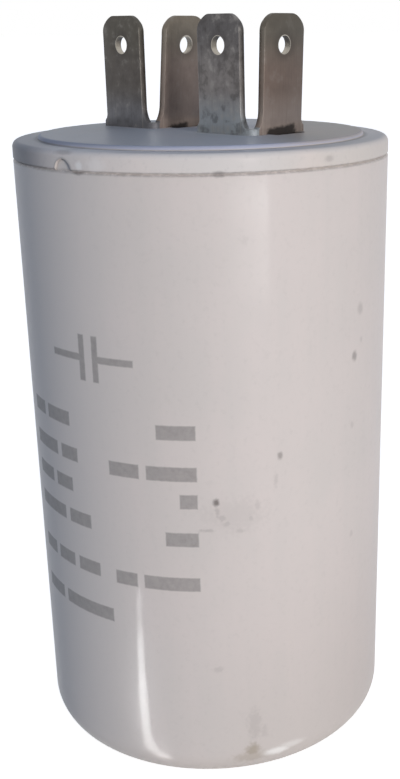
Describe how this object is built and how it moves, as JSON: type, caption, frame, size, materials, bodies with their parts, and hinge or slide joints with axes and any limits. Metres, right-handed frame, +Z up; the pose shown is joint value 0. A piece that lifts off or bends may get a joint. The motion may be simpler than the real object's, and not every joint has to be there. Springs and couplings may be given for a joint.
{
  "type": "motor capacitor",
  "caption": "Round motor capacitor: a film roll potted in a moulded white plastic can, closed by a flanged lid with folded push-on blade terminals.",
  "frame": {"origin": "centre of the base, on the can's axis", "axes": "+Z up along the can's axis, +X along the row of the two terminals"},
  "size_m": [0.042, 0.042, 0.0841],
  "materials": {
    "can_plastic": "satin moulded, lightly scuffed",
    "lid_plastic": "satin moulded",
    "terminal_metal": "dull tin plating, stained",
    "film": "gloss",
    "core_plastic": "matt",
    "sprayed_metal": "rough sprayed zinc",
    "red_insulation": "satin",
    "black_insulation": "satin",
    "resin": "satin"
  },
  "bodies": {
    "root": {"can": "can_plastic", "lid": "lid_plastic", "left_terminal": "terminal_metal", "right_terminal": "terminal_metal", "film_winding": "film", "winding_core": "core_plastic", "top_contact": "sprayed_metal", "bottom_contact": "sprayed_metal", "left_lead": "red_insulation", "right_lead": "black_insulation", "potting_resin": "resin"}
  },
  "joints": []
}
